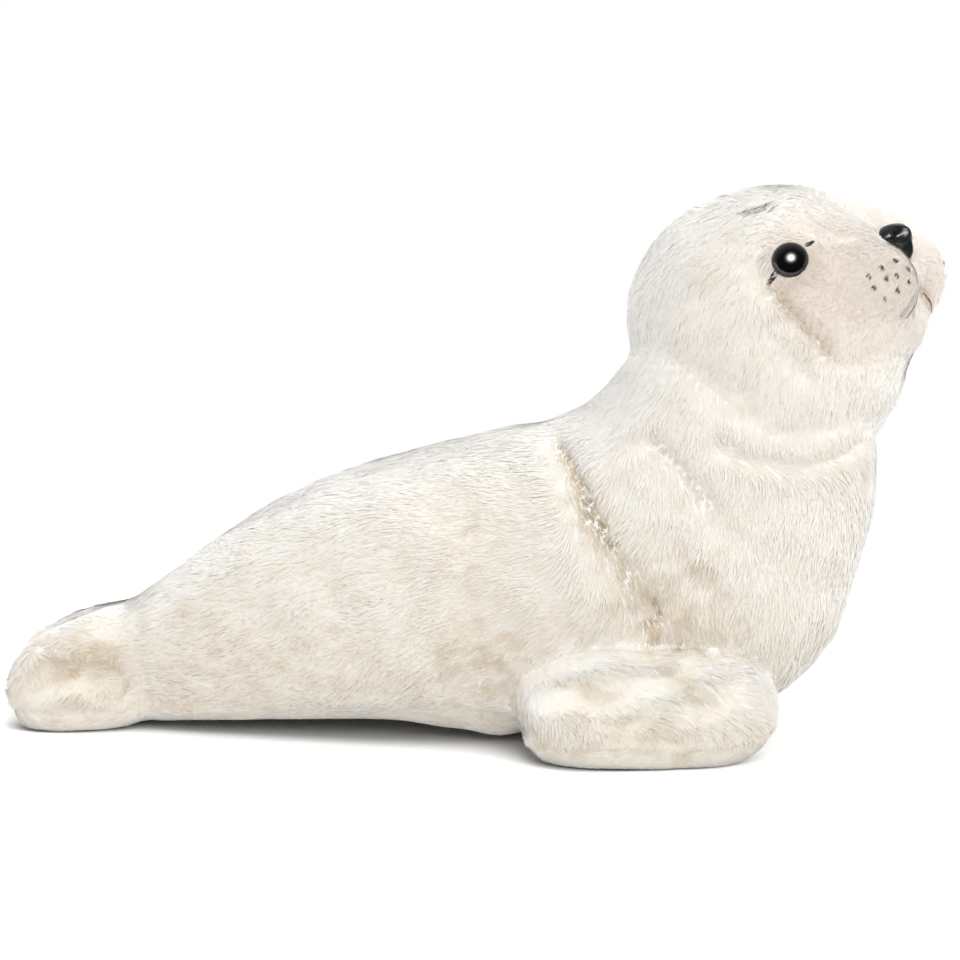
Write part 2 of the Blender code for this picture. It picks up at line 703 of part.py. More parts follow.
def build():
    clear_scene()
    root = make_empty("seal", (0.0, 0.0, 0.0))
    turn = Matrix.Rotation(math.radians(-HEAD_TURN), 3, "Z") @ Matrix.Rotation(
        math.radians(-HEAD_RAISE), 3, "Y"
    )
    head_frame = make_empty("head_frame", HEAD_CENTRE, turn, root)

    long_fur = make_material("long_pile_fur", (0.86, 0.83, 0.77), 0.9)
    short_fur = make_material("short_pile_fur", (0.78, 0.68, 0.60), 0.85)
    eye_plastic = make_material("eye_plastic", (0.004, 0.004, 0.005), 0.05)
    nose_plastic = make_material("nose_plastic", (0.05, 0.055, 0.06), 0.3)
    washer_plastic = make_material("washer_plastic", (0.8, 0.8, 0.78), 0.5)
    thread = make_material("mouth_thread", (0.06, 0.045, 0.035), 0.8)

    # Body with its belly panel
    body = make_object("body", *body_surface(), long_fur, root)
    body_core = make_cutter("body_core", *body_surface(-PANEL_THICKNESS - PANEL_SINK), root)
    body_deep = make_cutter(
        "body_deep", *body_surface(-PANEL_THICKNESS - PANEL_SINK - SEAM_GAP), root
    )
    panel_skin = make_cutter("panel_skin", *body_surface(-PANEL_SINK), root)
    recess_outline = grown_outline(panel_outline(), SEAM_GAP)
    recess = make_cutter(
        "belly_recess", *prism(recess_outline, -PANEL_DROP, PANEL_REACH, "Z"), root
    )
    combine(recess, body_deep, "DIFFERENCE")
    combine(body, recess, "DIFFERENCE")
    belly_panel = make_object(
        "belly_panel", *prism(panel_outline(), -PANEL_DROP, PANEL_REACH, "Z"), short_fur, root
    )
    combine(belly_panel, panel_skin, "INTERSECT")
    combine(belly_panel, body_core, "DIFFERENCE")

    # Head with its face panel, seated on the neck
    head = make_object("head", *head_surface(), long_fur, head_frame)
    head_seat = make_cutter("head_seat", *head_surface(SEAM_GAP), head_frame)
    head_core = make_cutter("head_core", *head_surface(-PANEL_THICKNESS - PANEL_SINK), head_frame)
    head_deep = make_cutter(
        "head_deep", *head_surface(-PANEL_THICKNESS - PANEL_SINK - SEAM_GAP), head_frame
    )
    combine(body, head_seat, "DIFFERENCE")
    face_recess_outline = grown_outline(FACE_OUTLINE, SEAM_GAP)
    face_recess = make_cutter(
        "face_recess", *prism(face_recess_outline, -FACE_REACH, FACE_REACH, "Y"), head_frame
    )
    combine(face_recess, head_deep, "DIFFERENCE")
    combine(head, face_recess, "DIFFERENCE")
    face_panel = make_object("face_panel", *head_surface(-PANEL_SINK), short_fur, head_frame)
    face_block = make_cutter(
        "face_block", *prism(FACE_OUTLINE, -FACE_REACH, FACE_REACH, "Y"), head_frame
    )
    combine(face_panel, face_block, "INTERSECT")
    combine(face_panel, head_core, "DIFFERENCE")

    # Eyes and nose, each with a lock washer behind the cloth
    nose_raise = math.radians(NOSE_RAISE)
    nose_axis = (math.cos(nose_raise), 0.0, math.sin(nose_raise))
    seats = {
        "eye_left": ((EYE_FORWARD, EYE_SIDE, EYE_UP), EYE_SINK, None),
        "eye_right": ((EYE_FORWARD, -EYE_SIDE, EYE_UP), EYE_SINK, None),
        "nose": ((NOSE_FORWARD, 0.0, NOSE_UP), NOSE_SINK, nose_axis),
    }
    hard_pieces = []
    for name, place in seats.items():
        is_nose = name == "nose"
        surface = nose_surface() if is_nose else eye_surface()
        plastic = nose_plastic if is_nose else eye_plastic
        piece = make_object(name, *surface, plastic, head_frame, sharp_angle=50.0)
        room = make_cutter(f"{name}_room", *shank_room(), head_frame)
        outline = nose_outline() if is_nose else superellipse(EYE_SEGMENTS, 2.0) * (EYE_DIAMETER / 2)
        hole = prism(grown_outline(outline, SEAM_GAP), -SEAM_GAP, SEAT_REACH, "X")
        seat = make_cutter(f"{name}_seat", *hole, head_frame)
        washer = make_object(
            f"{name}_washer", *washer_surface(), washer_plastic, head_frame, sharp_angle=35.0
        )
        matrix = seat_matrix(*place)
        for obj in (piece, room, seat):
            obj.matrix_local = matrix
        washer.matrix_local = matrix @ Matrix.Translation((-washer_depth() * MM, 0, 0))
        combine(seat, room, "UNION")
        combine(head, seat, "DIFFERENCE")
        combine(face_panel, seat, "DIFFERENCE")
        hard_pieces += [piece, washer]

    # Stitched mouth, pressed into the face panel's pile
    radius = THREAD_DIAMETER / 2
    path = mouth_path(-PANEL_SINK + radius * 0.2)
    mouth = make_object("mouth_thread", *tube(path, radius, THREAD_SIDES), thread, head_frame)
    groove = make_cutter(
        "mouth_groove", *tube(path, radius + SEAM_GAP, THREAD_SIDES), head_frame
    )
    combine(face_panel, groove, "DIFFERENCE")

    # Flippers, cut to the body's side
    flippers = [
        front_flipper("front_flipper_left", 1, long_fur, root),
        front_flipper("front_flipper_right", -1, long_fur, root),
        hind_flipper("hind_flipper_left", 1, long_fur, root),
        hind_flipper("hind_flipper_right", -1, long_fur, root),
    ]
    body_side = make_cutter("body_side", *body_surface(SEAM_GAP), root)
    for flipper in flippers:
        combine(flipper, body_side, "DIFFERENCE")

    centre_on_origin(root, [body, belly_panel, head, face_panel, mouth, *hard_pieces, *flippers])


build()
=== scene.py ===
"""Looks of the plush seal: combed white fur, short-pile face, glossy eyes, moulded nose.

The soft solids of the frame become one sewn skin of fur cloth, cut into a panel for each of them,
and Geometry Nodes grow the pile on every panel. The hard pieces stay and get their finishes.
"""

import math

import bmesh
import bpy
import numpy as np
from mathutils import Matrix, Vector
from mathutils.bvhtree import BVHTree


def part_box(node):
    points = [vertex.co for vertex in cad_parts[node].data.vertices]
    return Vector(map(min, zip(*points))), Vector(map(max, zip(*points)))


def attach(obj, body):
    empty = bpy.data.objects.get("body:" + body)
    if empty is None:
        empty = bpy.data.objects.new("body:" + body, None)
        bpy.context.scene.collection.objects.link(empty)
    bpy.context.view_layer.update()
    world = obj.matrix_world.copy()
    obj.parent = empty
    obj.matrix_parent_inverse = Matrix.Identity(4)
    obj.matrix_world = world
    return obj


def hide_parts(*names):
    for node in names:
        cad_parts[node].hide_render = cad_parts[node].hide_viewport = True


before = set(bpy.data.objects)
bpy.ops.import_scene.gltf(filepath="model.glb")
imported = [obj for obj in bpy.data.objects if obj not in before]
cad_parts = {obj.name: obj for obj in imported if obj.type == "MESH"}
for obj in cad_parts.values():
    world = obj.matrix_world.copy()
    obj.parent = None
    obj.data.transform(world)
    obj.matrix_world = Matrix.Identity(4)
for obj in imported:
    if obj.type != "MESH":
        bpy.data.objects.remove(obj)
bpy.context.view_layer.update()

MM = 0.001

# The camera of the photograph
IMAGE_SIDE = 960
CAMERA_TARGET = np.array((0.0032, 0, 0.0919))
CAMERA_DISTANCE = 1.2
CAMERA_RISE = math.radians(9)
CAMERA_LENS = 117.5
CAMERA_SENSOR = 36
CAMERA_AHEAD = np.array((0, math.cos(CAMERA_RISE), -math.sin(CAMERA_RISE)))
CAMERA_PLACE = CAMERA_TARGET - CAMERA_AHEAD * CAMERA_DISTANCE

# The skin under the pile, in metres
SKIN_VOXEL = 2.5 * MM
SEAM_OVERLAP = 0.5 * MM  # closes the seams of the solids before they become one skin
FILLER_SHRINK = 0.8 * MM  # the eyes and the nose fill their seats, just below their surface
SKIN_SMOOTHING = 12
SMOOTH_IN, SMOOTH_OUT = 0.5, -0.52  # the two halves of a round, which keep the volume together
NOTCH_ROUNDS = 140
NOTCH_SHARE = 0.9  # of the way to the neighbours, in each round
SKIN_LOWEST = 0.4 * MM  # above the floor
PILE_LOWEST = 0.3 * MM
CLOTH_THICKNESS = 1.0 * MM
LONG_PILE_DEPTH = 1.4 * MM  # from the cloth to the outside of the combed fur
SHORT_PILE_DEPTH = 0.8 * MM
FLIPPER_PILE_DEPTH = 1.3 * MM

# The soft nodes, and how deep their pile is
SOFT_NODES = {
    "body": LONG_PILE_DEPTH,
    "head": LONG_PILE_DEPTH,
    "face_panel": SHORT_PILE_DEPTH,
    "belly_panel": 0.6 * MM,
    "front_flipper_left": FLIPPER_PILE_DEPTH,
    "front_flipper_right": FLIPPER_PILE_DEPTH,
    "hind_flipper_left": FLIPPER_PILE_DEPTH,
    "hind_flipper_right": FLIPPER_PILE_DEPTH,
}
HARD_NODES = ("eye_left", "eye_right", "eye_left_washer", "eye_right_washer", "nose",
              "nose_washer")

# The head's own axes and centre: forward along the muzzle, left, up
HEAD_CENTRE = np.array((110.2, 0.0, 156.0)) * MM
HEAD_AXES = np.array(((0.788, -0.512, 0.342), (0.545, 0.839, 0.0), (-0.287, 0.186, 0.940)))


def linear(hex_colour):
    """A colour written as sRGB hex, such as f4f1ea, as linear RGBA."""
    parts = [int(hex_colour[i:i + 2], 16) / 255 for i in (0, 2, 4)]
    return (*(p / 12.92 if p <= 0.04045 else ((p + 0.055) / 1.055) ** 2.4 for p in parts), 1.0)


def socket(sockets, name):
    """The socket of that name or index that the node uses."""
    if isinstance(name, int):
        return sockets[name]
    return next(s for s in sockets if s.name == name and s.enabled)


def add_node(tree, kind, values=None, links=None, **settings):
    """Adds a node with its settings, the values of its inputs and what is linked into them."""
    node = tree.nodes.new(kind)
    for name, value in settings.items():
        setattr(node, name, value)
    for name, value in (values or {}).items():
        socket(node.inputs, name).default_value = value
    for name, source in (links or {}).items():
        tree.links.new(source, socket(node.inputs, name))
    return node


def new_material(name):
    material = bpy.data.materials.new(name)
    material.use_nodes = True
    tree = material.node_tree
    return material, tree, tree.nodes["Principled BSDF"]


def new_object(name, mesh):
    obj = bpy.data.objects.new(name, mesh)
    bpy.context.scene.collection.objects.link(obj)
    return obj


def plain_mesh(obj, name):
    """The evaluated mesh of an object, as a mesh of its own without modifiers."""
    graph = bpy.context.evaluated_depsgraph_get()
    mesh = bpy.data.meshes.new_from_object(obj.evaluated_get(graph))
    mesh.name = name
    bpy.data.objects.remove(obj)
    return mesh


def read_vectors(items, field):
    values = np.empty(len(items) * 3)
    items.foreach_get(field, values)
    return values.reshape(-1, 3)


def vertices_of(mesh):
    return read_vectors(mesh.vertices, "co")


def normals_of(mesh):
    return read_vectors(mesh.vertex_normals, "vector")


def set_vertices(mesh, points):
    mesh.vertices.foreach_set("co", np.asarray(points, float).ravel())
    mesh.update()


def unit(vectors):
    length = np.linalg.norm(vectors, axis=-1, keepdims=True)
    return vectors / np.maximum(length, 1e-9)


def smoothstep(values, low, high):
    t = np.clip((values - low) / (high - low), 0, 1)
    return t * t * (3 - 2 * t)


def smooth_noise(points, size, seed):
    """Soft random values of about -1 to 1, a sum of waves about as long as size."""
    random = np.random.default_rng(seed)
    total = np.zeros(len(points))
    waves = 14
    for _ in range(waves):
        direction = unit(random.normal(size=3))
        length = size * random.uniform(0.7, 1.6)
        total += np.sin(points @ direction * 2 * math.pi / length + random.uniform(0, 2 * math.pi))
    return total / math.sqrt(waves / 2) / 1.6


def in_head(points):
    """Points in the head's own frame, in millimetres: forward, left, up."""
    return (points - HEAD_CENTRE) @ HEAD_AXES.T / MM


def from_head(local):
    """Points of the head's own frame, in millimetres, as points of the scene."""
    return HEAD_CENTRE + np.asarray(local) * MM @ HEAD_AXES


def distance_to_line(points, line, flat=None):
    """How far each point is from a line through several points, or beside it, seen along flat."""
    best = np.full(len(points), np.inf)
    for start, end in zip(line, line[1:]):
        along = end - start
        t = np.clip(((points - start) @ along) / (along @ along), 0, 1)
        offset = points - start - t[:, None] * along
        if flat is not None:
            height = offset @ flat
            offset = offset - height[:, None] * flat * (np.abs(height) < 5 * MM)[:, None]
        best = np.minimum(best, np.linalg.norm(offset, axis=1))
    return best


# The skin: one smooth surface over all the soft solids, so that the forms run over the seams


def merged(name):
    work = bmesh.new()
    work.from_mesh(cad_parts[name].data)
    bmesh.ops.remove_doubles(work, verts=work.verts, dist=1e-6)
    work.normal_update()
    return work


def keep_largest(work):
    """Deletes every island but the largest, such as the rooms behind the eyes."""
    seen = set()
    islands = []
    for first in work.verts:
        if first in seen:
            continue
        island = [first]
        seen.add(first)
        for vertex in island:
            for edge in vertex.link_edges:
                other = edge.other_vert(vertex)
                if other not in seen:
                    seen.add(other)
                    island.append(other)
        islands.append(island)
    islands.sort(key=len)
    for island in islands[:-1]:
        bmesh.ops.delete(work, geom=island, context="VERTS")


def union_skin():
    work = bmesh.new()
    for name in (*SOFT_NODES, *HARD_NODES):
        part = merged(name)
        grow = SEAM_OVERLAP if name in SOFT_NODES else -FILLER_SHRINK
        for vertex in part.verts:
            vertex.co += vertex.normal * grow
        mesh = bpy.data.meshes.new("part")
        part.to_mesh(mesh)
        part.free()
        work.from_mesh(mesh)
        bpy.data.meshes.remove(mesh)
    joined = bpy.data.meshes.new("joined")
    work.to_mesh(joined)
    work.free()
    obj = new_object("joined", joined)
    remesh = obj.modifiers.new("remesh", "REMESH")
    remesh.mode = "VOXEL"
    remesh.voxel_size = SKIN_VOXEL
    mesh = plain_mesh(obj, "skin")
    work = bmesh.new()
    work.from_mesh(mesh)
    keep_largest(work)
    work.to_mesh(mesh)
    work.free()
    return mesh


def edge_list(mesh):
    edges = np.empty(len(mesh.edges) * 2, dtype=np.int64)
    mesh.edges.foreach_get("vertices", edges)
    return edges.reshape(-1, 2)


def neighbour_mean(values, edges):
    """The mean of each vertex's neighbours, for one value or several for each vertex."""
    total = np.zeros_like(values)
    np.add.at(total, edges[:, 0], values[edges[:, 1]])
    np.add.at(total, edges[:, 1], values[edges[:, 0]])
    count = np.bincount(edges.ravel(), minlength=len(values)).astype(float)
    return total / (count if values.ndim == 1 else count[:, None])


def spread(values, edges, rounds):
    """Values of the vertices, averaged with their neighbours' several times."""
    values = np.array(values, float)
    for _ in range(rounds):
        values = 0.5 * values + 0.5 * neighbour_mean(values, edges)
    return values


def smoothed(points, edges, rounds):
    """Points without the steps of the voxels, at the same volume: each round in, then out."""
    for factor in (SMOOTH_IN, SMOOTH_OUT) * rounds:
        points = points + factor * (neighbour_mean(points, edges) - points)
    return points


def fill_notches(mesh, edges, share, rounds):
    """Fills hollows of the surface, up to how much the share of each vertex lets it."""
    for _ in range(rounds):
        points = vertices_of(mesh)
        normals = normals_of(mesh)
        rise = np.sum((neighbour_mean(points, edges) - points) * normals, axis=1)
        lift = NOTCH_SHARE * share * np.maximum(rise, 0)
        set_vertices(mesh, points + normals * lift[:, None])


def nearest_node(points):
    """The soft node nearest to each point, as a number in the order of SOFT_NODES."""
    best = np.full(len(points), np.inf)
    label = np.zeros(len(points), dtype=int)
    for number, name in enumerate(SOFT_NODES):
        work = merged(name)
        tree = BVHTree.FromBMesh(work)
        work.free()
        gaps = np.array([tree.find_nearest(Vector(p))[3] for p in points])
        nearer = gaps < best
        best[nearer] = gaps[nearer]
        label[nearer] = number
    return label


def gap_to(name, points, reach):
    """How far each point is from a hard node, up to a reach."""
    work = merged(name)
    tree = BVHTree.FromBMesh(work)
    work.free()
    gaps = np.full(len(points), reach)
    for index, point in enumerate(points):
        found = tree.find_nearest(Vector(point), reach)
        if found[0] is not None:
            gaps[index] = found[3]
    return gaps


# Where the cloth runs smoothly from one stuffed form to the next: (centre, radius) in mm
NOTCHES = (
    ((-126, -14, 48), 34),  # top of the tail
    ((-124, -16, 10), 30),  # under the tail
    ((10, -42, 5), 34),  # behind the front flipper
    ((-136, 0, 44), 24),  # between the hind flippers
)
# Where the stuffing is fuller or flatter than the solids: (centre, radius, height) in mm, and
# whether the other side has it too. The head's are in the head's own frame.
FULLNESS_OF_HEAD = (
    ((-42, 0, 30), 25, -5.0, True),  # back of the head
    ((35, 0, 35), 12, 2.5, True),  # forehead
    ((46, 9, 25), 10, 2.2, True),  # bridge of the muzzle
    ((57, 14, 13), 9, 3.4, True),  # above the whisker pads
    ((67, 17, 4), 8, 3.0, True),  # in front of the whisker pads
    ((50, 12, 22), 10, 3.4, False),  # far side of the bridge
    ((60, 14, 14), 9, 4.0, False),
)
FULLNESS_OF_BODY = (
    ((50, 8, 128), 20, -1.6, True),  # nape
    ((163, 0, 131), 11, -2.0, True),  # throat
    ((136, 0, 32), 30, -7.0, True),  # lower chest
    ((118, 0, 14), 18, -4.0, True),  # under the chest
    ((-176, 26, 12), 14, -1.5, True),  # tips of the hind flippers
    ((10, 44, 5), 13, 5.0, True),  # under the flank, before the front flipper
    ((-10, 38, 6), 12, 2.0, True),
)

skin = union_skin()
edges = edge_list(skin)
set_vertices(skin, smoothed(vertices_of(skin), edges, SKIN_SMOOTHING))
points = vertices_of(skin)
share = np.zeros(len(points))
for centre, radius in NOTCHES:
    for side in (1, -1):
        gap = np.linalg.norm(points / MM - np.array(centre) * np.array((1, side, 1)), axis=1)
        share = np.maximum(share, smoothstep(-gap, -radius, -radius * 0.5))
fill_notches(skin, edges, share, NOTCH_ROUNDS)
points = vertices_of(skin)
for lumps_of, here in ((FULLNESS_OF_HEAD, in_head(points)), (FULLNESS_OF_BODY, points / MM)):
    for centre, radius, height, both_sides in lumps_of:
        gaps = [np.linalg.norm(here - np.array(centre) * np.array((1, side, 1)), axis=1)
                for side in (1, -1 if both_sides else 1)]
        rise = height * np.exp(-(np.minimum(*gaps) / radius) ** 2)
        points = points + normals_of(skin) * (rise * MM)[:, None]
points[:, 2] = np.maximum(points[:, 2], SKIN_LOWEST)
set_vertices(skin, points)
outside = vertices_of(skin)

# Places of the photograph, by its pixels, found on the skin


def pixel_ray(px, py):
    """The direction in which the photograph's camera sees a pixel."""
    right = np.array((1, 0, 0))
    up = np.array((0, math.sin(CAMERA_RISE), math.cos(CAMERA_RISE)))
    focal = CAMERA_LENS / CAMERA_SENSOR * IMAGE_SIDE
    half = IMAGE_SIDE / 2
    return unit(CAMERA_AHEAD + right * (px - half) / focal + up * (half - py) / focal)


skin_work = bmesh.new()
skin_work.from_mesh(skin)
skin_tree = BVHTree.FromBMesh(skin_work)
skin_work.free()


def on_skin(*pixels):
    """The points of the skin that the photograph shows at these pixels."""
    found = []
    for px, py in pixels:
        hit = skin_tree.ray_cast(Vector(CAMERA_PLACE), Vector(pixel_ray(px, py)))[0]
        if hit is not None:
            found.append(np.array(hit))
    return np.array(found)


def mirrored(points, head=False):
    """The same points on the other side, of the head or of the whole body."""
    if head:
        return from_head(in_head(points) * np.array((1, -1, 1)))
    return points * np.array((1, -1, 1))


# Folds and hollows of the stuffed cloth: (pixels of the line, depth mm, half width mm, tint of the
# painted shade in its bottom, whether it is on the head)
SHOULDER = ((556, 438), (566, 455), (577, 480), (590, 516), (608, 545), (627, 574))
FOLDS = (
    (SHOULDER[:5], 1.3, 2.6, 0.36, False),  # crease of the shoulder
    (SHOULDER, 1.7, 6.5, 0.12, False),
    (((627, 574), (640, 596), (652, 615)), 1.5, 6.0, 0.12, False),
    (((651, 438), (662, 452), (675, 465), (690, 482), (704, 501)),
     2.0, 2.6, 0.12, False),  # side of the neck
    (((655, 440), (690, 478), (712, 510)), 1.6, 6.0, 0.04, False),
    (((724, 445), (753, 458), (782, 462), (806, 465), (840, 456), (866, 445)),
     2.2, 4.0, 0.10, False),  # round the front of the neck
    (((450, 745), (470, 700), (505, 640)), 1.6, 10, 0.03, False),  # flank
    (((455, 600), (468, 640), (470, 670)), 1.0, 8, 0.06, False),
    (((450, 490), (470, 520), (490, 548)), 1.2, 12, 0.05, False),
    (((42, 660), (70, 664), (98, 668), (112, 672)), 2.2, 6, 0.20, False),  # hind flipper
    (((590, 690), (606, 703), (624, 716)), 2.8, 9, 0.14, False),  # front flipper
    (((678, 676), (690, 690), (708, 702)), 1.6, 6, 0.12, False),
    (((683, 738), (684, 750), (682, 762)), 1.2, 5, 0.08, False),
    (((776, 292), (787, 306), (805, 326), (823, 344), (831, 356)), 2.0, 2.4, 0.26, True),  # cheek
    (((858, 360), (876, 356), (900, 346)), 0.4, 3.0, 0.04, True),  # under the chin
    (((800, 224), (830, 232), (860, 232)), 0.6, 3, 0.06, True),  # over the bridge of the nose
)
FAR_FOLD = (0.8, 1.1, 0.8)  # depth, width and painted shade of the fold on the far side, to the near one's
fold_lines = []
for pixels, depth, width, shade, head in FOLDS:
    line = on_skin(*pixels)
    fold_lines.append((line, depth, width, shade))
    fold_lines.append((mirrored(line, head), depth * FAR_FOLD[0], width * FAR_FOLD[1],
                       shade * FAR_FOLD[2]))


def near_line(line, width):
    """From 1 on a line of the skin to 0 beside it, with a half width in millimetres."""
    return np.exp(-(distance_to_line(outside, line) / MM / width) ** 2)


FOLD_SIDES = 1.2  # how much wider than its hollow a fold shows in the pile
NOSE_SEAT = (1.5, 1.6)  # depth and width of the hollow that the nose sits in, in mm
LUMPS = ((0.9, 60 * MM, 3), (0.35, 25 * MM, 4))  # unevenness of the filling: mm, size, seed

normals = normals_of(skin)
carve = np.zeros(len(outside))
for line, depth, width, _ in fold_lines:
    carve += depth * near_line(line, width)
nose_gap = gap_to("nose", outside, 6 * MM) / MM
carve += NOSE_SEAT[0] * np.exp(-(nose_gap / NOSE_SEAT[1]) ** 2)
lumps = sum(height * smooth_noise(outside, size, seed) for height, size, seed in LUMPS)

label = nearest_node(outside)
depths = np.array(list(SOFT_NODES.values()))
pile_depth = spread(depths[label], edges, 3)
pressed = smoothstep(-outside[:, 2], -13 * MM, -5 * MM)  # the toy's weight flattens its pile
pile_depth *= 1 - 0.85 * pressed
soft_part = smoothstep(pile_depth, 0.9 * MM, 1.25 * MM)
sunk = pile_depth + SEAM_OVERLAP * (1 - pressed) + (carve + lumps * soft_part) * MM
cloth_points = smoothed(outside - normals * sunk[:, None], edges, 2)
set_vertices(skin, cloth_points)
normals = normals_of(skin)

# How the pile lies on the cloth: the comb direction, its length, and how much of it shows


def node_number(name):
    return list(SOFT_NODES).index(name)


local = in_head(outside)
x, _, z = outside.T
chest = smoothstep(x, 20 * MM, 75 * MM)[:, None]
flank = smoothstep(-np.abs(normals[:, 2]), -0.9, 0.0)[:, None]
tailward = np.array((-1.0, 0, 0)) + flank * np.array((0, 0, -0.45))
comb = tailward * (1 - chest) + np.array((-0.15, 0, -1.0)) * chest
on_head = label == node_number("head")
on_face = label == node_number("face_panel")
comb[on_head] = -0.6 * HEAD_AXES[0] - 0.75 * HEAD_AXES[2]
muzzle_tip = from_head((70, 0, 6))
comb[on_face] = unit(outside - muzzle_tip)[on_face] - 0.25 * np.array((0, 0, 1.0))
for name in [name for name in SOFT_NODES if "flipper" in name]:
    rows = label == node_number(name)
    low, high = (np.array(corner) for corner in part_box(name))
    middle = (low + high) / 2
    if name.startswith("front"):
        root = middle + (high - low) * np.array((-0.45, -0.5 * np.sign(middle[1]), 0.5))
    else:
        root = middle + (high - low) * np.array((0.55, 0, 0.3))
    comb[rows] = unit(outside - root)[rows]
low_edge = smoothstep(-z, -18 * MM, -8 * MM)[:, None]
comb = unit(comb) * (1 - low_edge) + np.array((-1.0, 0, 0)) * low_edge
comb = spread(unit(comb), edges, 4)
for line, depth, width, _ in fold_lines:
    if width > 7:
        continue
    # In a narrow fold the pile lies along it
    share = 0.9 * min(depth, 1) * near_line(line, width * FOLD_SIDES)[:, None]
    comb = comb * (1 - share) + unit(line[-1] - line[0]) * share
swirl = np.stack([smooth_noise(outside, 34 * MM, seed) for seed in (11, 12, 13)], axis=1)
ripple = np.stack([smooth_noise(outside, 12 * MM, seed) for seed in (14, 15, 16)], axis=1)
comb = comb + 0.30 * swirl + 0.16 * ripple
comb -= normals * np.sum(comb * normals, axis=1)[:, None]
comb = unit(comb)

# Tint: the place in the pile's colours, from 0, white, over 0.3, cream, 0.6, beige, and 0.8,
# grey, to 1, dark brown
# Painted shade: the pile is creamier low down on the body and where it faces sideways
height = smoothstep(-z, -90 * MM, -8 * MM) * smoothstep(-np.abs(normals[:, 2]), -0.9, -0.1)
tint = 0.04 + 0.12 * height + 0.15 * smoothstep(np.abs(normals[:, 1]), 0.3, 0.9)
strip = smoothstep(-z, -9 * MM, -6 * MM) * smoothstep(-x, -22 * MM, -5 * MM)
strip *= smoothstep(x, -128 * MM, -105 * MM)
tint += 0.14 * strip
face_blend = spread(on_face.astype(float), edges, 6)
forehead = smoothstep(local[:, 2], 8, 24)
chin = smoothstep(-local[:, 2], 14, 27)
far_side = smoothstep(local[:, 1], -6, 10) * 0.6
tint += face_blend * (0.13 - 0.10 * np.maximum(np.maximum(forehead, chin), far_side))
# Painted shade round each eye, where it sits in the face
eyes = from_head(((37, 31, 12), (37, -31, 12)))
for eye in eyes:
    tint += 0.16 * np.exp(-(np.linalg.norm(outside - eye, axis=1) / (11 * MM)) ** 4)
# Painted shade in the bottom of each fold
for line, _, width, shade in fold_lines:
    tint += shade * near_line(line, width * FOLD_SIDES)
# Mottled patches, partly the warmer roots where the pile is parted and partly painted shade in the
# hollows of the flank, the flippers and the tail: (pixel, radius mm, tint)
PARTED_AND_SHADED = (
    ((690, 600), 24, 0.20),
    ((655, 640), 14, 0.20),
    ((480, 515), 20, 0.12),
    ((500, 660), 16, 0.16),
    ((600, 690), 18, 0.10),
    ((560, 720), 14, 0.10),
    ((700, 690), 16, 0.07),
    ((90, 650), 12, 0.18),
    ((720, 380), 16, 0.06),
    ((260, 640), 40, 0.06),
)
mottle = np.clip(0.6 + 0.5 * smooth_noise(outside, 9 * MM, 21)
                 + 0.35 * smooth_noise(outside, 4 * MM, 22), 0, 1.6)
for pixel, radius, strength in PARTED_AND_SHADED:
    place = on_skin(pixel)
    for centre in (place[0], mirrored(place)[0]):
        gap = np.linalg.norm(outside - centre, axis=1) / MM
        tint += strength * mottle * np.exp(-(gap / radius) ** 2)
tint += 0.05 * (mottle - 0.6) * ~on_face
tint = np.clip(tint, 0, 1)

# Airbrushed marks of the face, and painted shade under the whisker pads at the mouth: (pixels,
# radius mm, tint, share of the strands that take it, how many mm further out the far side has it,
# or None where it doesn't, whole strands or parts)
AIRBRUSHED_AND_SHADED = (
    (((746, 209), (757, 207), (773, 203)), 2.4, 0.78, 0.4, 9, True),  # brow
    (((808, 243), (812, 241)), 0.9, 0.97, 0.9, 0, True),  # front corner of the eye
    (((775, 273), (769, 281)), 1.1, 0.97, 0.9, 0, True),  # rear corner of the eye
    (((919, 293), (912, 305), (904, 317)), 1.6, 0.66, 0.6, None, False),  # near side of the mouth: painted shade under the near whisker pad
    (((922, 290), (929, 298), (932, 308)), 2.2, 0.60, 0.8, None, False),  # far side of the mouth: airbrushed brown and painted shade under the far pad
)
WHISKERS = ((896.5, 259.5), (882, 267), (868.5, 275.5), (910, 268), (897.5, 275), (886, 278.5),
            (911, 282), (874, 288), (898.5, 290.5), (885.5, 300))
WHISKER_MARK = (0.55, 0.98, 1.0, 0, True)
marks = []


def add_mark(pixels, radius, strength, share, further, whole):
    """Keeps a mark of the near side of the face and, where asked, one of the far side."""
    line = on_skin(*pixels)
    both = [line]
    if further is not None:
        both.append(mirrored(line, True) + further * MM * (HEAD_AXES[1] - 0.6 * HEAD_AXES[2]))
    for places in both:
        flat = np.array(skin_tree.find_nearest(Vector(places[len(places) // 2]))[1])
        marks.append((places, radius, strength, share, flat, whole))


for mark in AIRBRUSHED_AND_SHADED:
    add_mark(*mark)
for px, py in WHISKERS:
    add_mark(((px - 1, py - 1), (px + 1.5, py + 1.5)), *WHISKER_MARK)


def with_marks(points, tints, shade):
    """The tint at the strands' points, four for each, with the airbrushed marks and the painted
    shade at the mouth over it.
    """
    tints = tints.copy()
    middles = np.repeat(points.reshape(-1, 4, 3)[:, 1:].mean(axis=1), 4, axis=0)
    near_face = in_head(middles)[:, 0] > 10
    luck = shade[near_face] / 2 + 0.5
    result = tints[near_face]
    for line, radius, strength, share, flat, whole in marks:
        gap = distance_to_line((middles if whole else points)[near_face], line, flat) / MM
        weight = (gap < radius) * 1.0 if whole else np.exp(-(gap / radius) ** 4)
        result = np.maximum(result, result + (strength - result) * weight * (luck < share))
    tints[near_face] = result
    return tints


# Cover, the share of the strands that grow, and reach, the share of their length
cover = np.ones(len(outside))
for name in ("eye_left", "eye_right", "nose"):
    gap = gap_to(name, cloth_points, 6 * MM) / MM
    cover *= smoothstep(gap, 0.6, 2.2)
floor_side = smoothstep(-normals[:, 2], 0.55, 0.95) * smoothstep(-z, -34 * MM, -22 * MM)
cover *= 1 - 0.6 * floor_side

